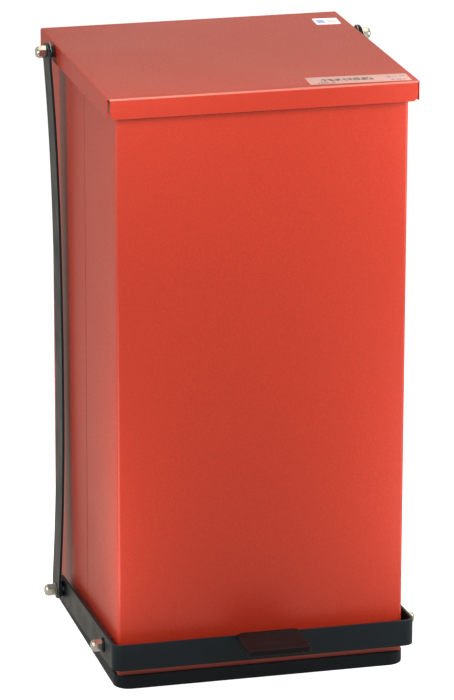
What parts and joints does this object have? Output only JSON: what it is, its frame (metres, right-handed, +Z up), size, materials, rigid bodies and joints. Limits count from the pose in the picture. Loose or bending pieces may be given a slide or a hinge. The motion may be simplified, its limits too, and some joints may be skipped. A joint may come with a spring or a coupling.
{
  "type": "step-on waste can",
  "caption": "Square free-standing steel waste can with a foot pedal whose side links lift a rear-hinged, self-closing lid over a loose metal liner.",
  "frame": {"origin": "on the floor at the centre of the base's flat underside, which is under the centre of the lid", "axes": "+Z up; -Y towards the front, where the pedal is; +X to the right of someone who faces the front"},
  "size_m": [0.4384, 0.4591, 0.7626],
  "materials": {
    "red_powder_coat": "semi-gloss powder coat with a fine orange-peel texture",
    "black_enamel": "satin black enamel",
    "moulded_base": "satin moulded rubber",
    "black_rubber": "matt black rubber",
    "plain_steel": "plain mill finish",
    "zinc_plate": "dull zinc plating",
    "bright_nut": "bright nickel plating",
    "galvanised_sheet": "spangled galvanised sheet",
    "label_film": "thin printed film, left blank",
    "white_sticker": "white paper sticker with plain colour bars"
  },
  "bodies": {
    "can": {"base_moulding": "moulded_base", "base_screw_front_left": "zinc_plate", "base_screw_front_right": "zinc_plate", "base_screw_rear_left": "zinc_plate", "base_screw_rear_right": "zinc_plate", "floor_pan": "red_powder_coat", "body_front_shell": "red_powder_coat", "body_rear_shell": "red_powder_coat", "mouth_rim": "red_powder_coat", "hinge_body_leaf": "plain_steel", "hinge_pin": "plain_steel", "hinge_rivet_1": "plain_steel", "hinge_rivet_2": "plain_steel", "hinge_rivet_3": "plain_steel", "hinge_rivet_4": "plain_steel", "pivot_bolt_left": "zinc_plate", "pivot_bolt_right": "zinc_plate", "pivot_spacer_left": "black_enamel", "pivot_spacer_right": "black_enamel", "pivot_washer_left": "black_enamel", "pivot_washer_right": "black_enamel", "pivot_nut_left": "bright_nut", "pivot_nut_right": "bright_nut"},
    "lid": {"lid_shell": "red_powder_coat", "hinge_lid_leaf": "plain_steel", "rating_label": "label_film", "stock_sticker": "white_sticker", "lid_bumper_left": "black_rubber", "lid_bumper_right": "black_rubber", "lid_bolt_left": "zinc_plate", "lid_bolt_right": "zinc_plate", "lid_spacer_left": "black_enamel", "lid_spacer_right": "black_enamel", "lid_washer_left": "zinc_plate", "lid_washer_right": "zinc_plate", "lid_nut_left": "bright_nut", "lid_nut_right": "bright_nut"},
    "pedal": {"pedal_strap": "black_enamel", "pedal_tongue": "black_enamel", "pedal_pad": "black_rubber", "pedal_rivet_left": "black_enamel", "pedal_rivet_right": "black_enamel"},
    "link_left": {"link_bar_left": "black_enamel", "link_bolt_left": "zinc_plate", "link_spacer_left": "black_enamel", "link_washer_left": "bright_nut", "link_nut_left": "bright_nut"},
    "link_right": {"link_bar_right": "black_enamel", "link_bolt_right": "zinc_plate", "link_spacer_right": "black_enamel", "link_washer_right": "bright_nut", "link_nut_right": "bright_nut"},
    "liner": {"waste_liner": "galvanised_sheet"}
  },
  "joints": [
    {"name": "lid_hinge", "type": "hinge", "parent": "can", "child": "lid", "pos_m": [0, 0.1876, 0.7574], "axis": [-1, 0, 0], "range_deg": [0, 55]},
    {"name": "pedal_hinge", "type": "hinge", "parent": "can", "child": "pedal", "pos_m": [0, -0.146, 0.0465], "axis": [1, 0, 0], "range_deg": [0, 15.74]},
    {"name": "link_left_hinge", "type": "hinge", "parent": "lid", "child": "link_left", "pos_m": [-0.2024, 0.113, 0.75], "axis": [1, 0, 0], "range_deg": [0, 52.5]},
    {"name": "link_right_hinge", "type": "hinge", "parent": "lid", "child": "link_right", "pos_m": [0.2024, 0.113, 0.75], "axis": [1, 0, 0], "range_deg": [0, 52.5]},
    {"name": "liner_lift", "type": "slide", "parent": "can", "child": "liner", "axis": [0, 0, 1], "range_m": [0, 0.03]}
  ],
  "couplings": [
    {"joint": "pedal_hinge", "follows": "lid_hinge", "ratio": 0.286},
    {"joint": "link_left_hinge", "follows": "lid_hinge", "ratio": 0.954},
    {"joint": "link_right_hinge", "follows": "lid_hinge", "ratio": 0.954}
  ]
}
